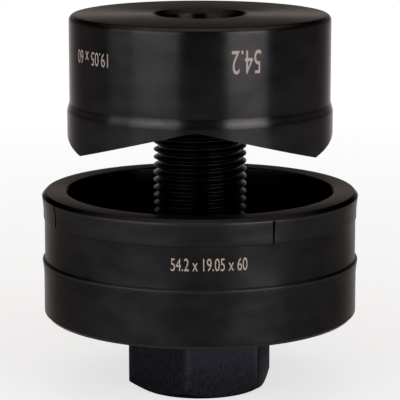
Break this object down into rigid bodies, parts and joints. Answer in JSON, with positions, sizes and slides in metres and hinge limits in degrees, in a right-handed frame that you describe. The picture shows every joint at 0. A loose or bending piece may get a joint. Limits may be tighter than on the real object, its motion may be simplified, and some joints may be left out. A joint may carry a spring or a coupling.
{
  "type": "knockout punch",
  "caption": "Knockout punch that shears a round hole in sheet steel: pointed punch and cup-shaped die drawn together by a hex-head bolt on a thrust ball bearing.",
  "frame": {"origin": "centre of the lower face of the draw bolt's hexagon head, on which the tool stands, on the common axis", "axes": "+Z along the common axis from the bolt head through the die to the punch; -Y towards the viewer of the picture, through one valley of the punch"},
  "size_m": [0.065, 0.0648, 0.0772],
  "materials": {
    "punch_steel": "satin black oxide",
    "die_steel": "satin black oxide",
    "bolt_steel": "phosphated black",
    "race_steel": "ground",
    "cage_steel": "pressed sheet",
    "ball_steel": "polished"
  },
  "bodies": {
    "die": {"die": "die_steel", "bearing_die_washer": "race_steel"},
    "bolt": {"draw_bolt": "bolt_steel", "bearing_head_washer": "race_steel"},
    "bearing": {"bearing_cage": "cage_steel", "bearing_ball_01": "ball_steel", "bearing_ball_02": "ball_steel", "bearing_ball_03": "ball_steel", "bearing_ball_04": "ball_steel", "bearing_ball_05": "ball_steel", "bearing_ball_06": "ball_steel", "bearing_ball_07": "ball_steel", "bearing_ball_08": "ball_steel", "bearing_ball_09": "ball_steel", "bearing_ball_10": "ball_steel", "bearing_ball_11": "ball_steel", "bearing_ball_12": "ball_steel"},
    "punch": {"punch": "punch_steel"}
  },
  "joints": [
    {"name": "bolt_turn", "type": "hinge", "parent": "die", "child": "bolt", "pos_m": [0, 0, 0], "axis": [0, 0, 1], "range_deg": [-3175, 4536]},
    {"name": "punch_draw", "type": "slide", "parent": "die", "child": "punch", "axis": [0, 0, 1], "range_m": [-0.02, 0.014]},
    {"name": "bearing_roll", "type": "hinge", "parent": "die", "child": "bearing", "pos_m": [0, 0, 0], "axis": [0, 0, 1], "range_deg": [-1588, 2268]}
  ],
  "couplings": [
    {"joint": "bolt_turn", "follows": "punch_draw", "rad_per_m": -3957.9},
    {"joint": "bearing_roll", "follows": "punch_draw", "rad_per_m": -1979}
  ]
}
